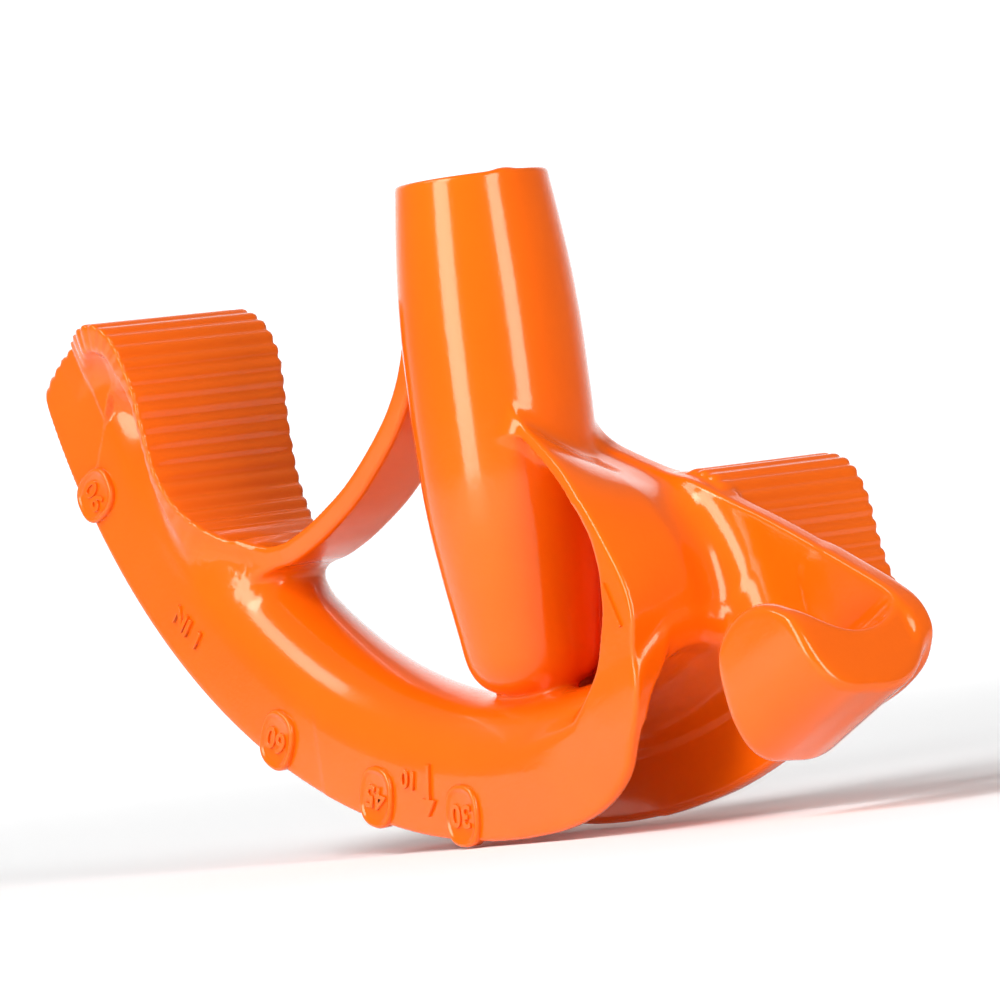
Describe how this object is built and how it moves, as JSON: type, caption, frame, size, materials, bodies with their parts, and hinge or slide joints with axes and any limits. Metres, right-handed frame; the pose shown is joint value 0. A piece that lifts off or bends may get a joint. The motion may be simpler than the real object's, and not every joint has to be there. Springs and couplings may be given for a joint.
{
  "type": "conduit bender head",
  "caption": "One-piece cast bender head: grooved arc shoe, upright pipe-handle socket, ribbed rear foot pedal, side foot step and a front hook that holds the conduit.",
  "frame": {"origin": "centre of the handle socket's mouth, on the plane of its rim", "axes": "+Z along the handle and out of the socket; +X toward the hook; +Y toward the side that carries the foot step"},
  "size_m": [0.3015, 0.0885, 0.1687],
  "materials": {
    "orange_enamel_cast_iron": "gloss orange enamel baked on ductile cast iron"
  },
  "bodies": {
    "root": {"bending_shoe": "orange_enamel_cast_iron", "groove_end": "orange_enamel_cast_iron", "handle_socket": "orange_enamel_cast_iron", "foot_pedal": "orange_enamel_cast_iron", "rear_strap": "orange_enamel_cast_iron", "front_strap": "orange_enamel_cast_iron", "hook_arm": "orange_enamel_cast_iron", "hook": "orange_enamel_cast_iron", "foot_step": "orange_enamel_cast_iron"}
  },
  "joints": []
}
